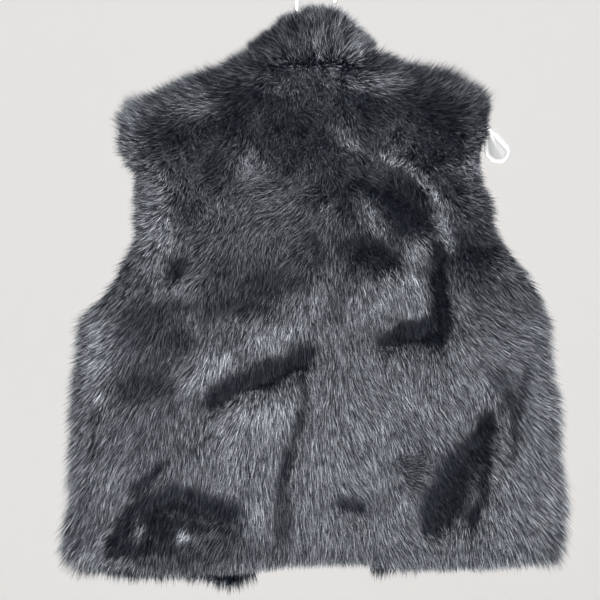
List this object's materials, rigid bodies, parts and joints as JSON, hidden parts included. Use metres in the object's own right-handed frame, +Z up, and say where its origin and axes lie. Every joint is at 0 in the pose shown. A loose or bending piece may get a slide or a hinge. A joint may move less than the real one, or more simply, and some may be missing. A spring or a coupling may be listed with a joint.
{
  "type": "faux fur vest on a hanger",
  "caption": "Charcoal long-pile faux fur vest with a stand collar and an open front, hung on a clear plastic hanger.",
  "frame": {"origin": "underside of the hook's arch, where the rail touches it", "axes": "+Z up; the back of the vest faces -Y and its open front faces +Y; +X is the wearer's right"},
  "size_m": [0.548, 0.0849, 0.6774],
  "materials": {
    "fur": "long soft pile, slight sheen",
    "clear_plastic": "clear, glossy"
  },
  "bodies": {
    "root": {"back": "fur", "front_left": "fur", "front_right": "fur", "collar": "fur", "hanger": "clear_plastic"}
  },
  "joints": []
}
